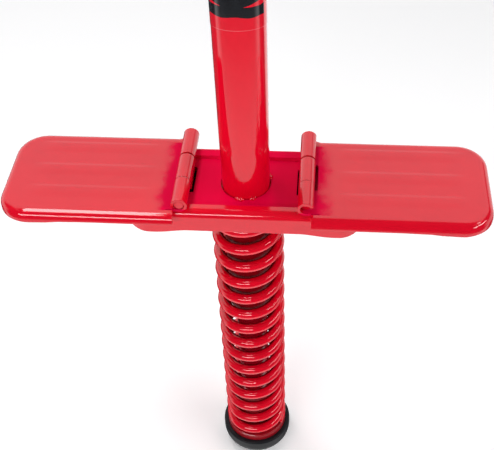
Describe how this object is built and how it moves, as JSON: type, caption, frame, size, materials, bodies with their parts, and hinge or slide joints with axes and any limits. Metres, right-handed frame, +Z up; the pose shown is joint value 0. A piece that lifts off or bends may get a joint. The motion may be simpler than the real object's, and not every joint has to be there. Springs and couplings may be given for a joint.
{
  "type": "pogo stick",
  "caption": "Sprung jumping stick: a tube with a crossbar and foam grips, hinged foot pedals on a bracket, an exposed coil spring round a sliding plunger, and a rubber foot.",
  "frame": {"origin": "centre of the rubber foot's sole, on the tube's axis", "axes": "+Z up along the tube, X along the pedals and the crossbar, -Y the front"},
  "size_m": [0.348, 0.0876, 0.952],
  "materials": {
    "red_enamel": "gloss",
    "red_spring": "gloss",
    "red_plunger": "gloss",
    "sole_rubber": "matte",
    "grip_foam": "matte",
    "black_plastic": "matte",
    "nylon": "matte",
    "zinc_steel": "satin",
    "wrap_film": "gloss"
  },
  "bodies": {
    "frame": {"main_tube": "red_enamel", "pedal_bracket": "red_enamel", "bracket_tack_welds": "red_enamel", "left_hinge_strap": "red_enamel", "right_hinge_strap": "red_enamel", "bracket_lower_weld": "red_enamel", "upper_spring_seat": "red_enamel", "left_hinge_pin": "red_enamel", "right_hinge_pin": "red_enamel", "handlebar_tube": "red_enamel", "coil_spring": "red_spring", "lower_guide_bush": "nylon", "left_grip": "grip_foam", "right_grip": "grip_foam", "left_end_plug": "black_plastic", "right_end_plug": "black_plastic", "tube_cap": "black_plastic", "handlebar_bolt": "zinc_steel", "handlebar_nut": "zinc_steel", "handlebar_washer": "zinc_steel", "tube_wrap": "wrap_film"},
    "plunger": {"plunger_tube": "red_plunger", "plunger_end_plug": "zinc_steel", "plunger_slider": "nylon", "slider_pin": "zinc_steel", "spring_cup": "red_enamel", "cup_socket": "red_enamel", "cup_weld": "red_enamel", "rubber_foot": "sole_rubber"},
    "left_pedal": {"left_pedal": "red_enamel"},
    "right_pedal": {"right_pedal": "red_enamel"}
  },
  "joints": [
    {"name": "plunger_slide", "type": "slide", "parent": "frame", "child": "plunger", "axis": [0, 0, 1], "range_m": [0, 0.13], "stiffness_N_per_m": 34000, "springref_m": -0.01, "deforming": ["coil_spring"]},
    {"name": "left_pedal_fold", "type": "hinge", "parent": "frame", "child": "left_pedal", "pos_m": [-0.0442, 0, 0.3438], "axis": [0, 1, 0], "range_deg": [0, 100]},
    {"name": "right_pedal_fold", "type": "hinge", "parent": "frame", "child": "right_pedal", "pos_m": [0.0442, 0, 0.3438], "axis": [0, -1, 0], "range_deg": [0, 100]}
  ]
}
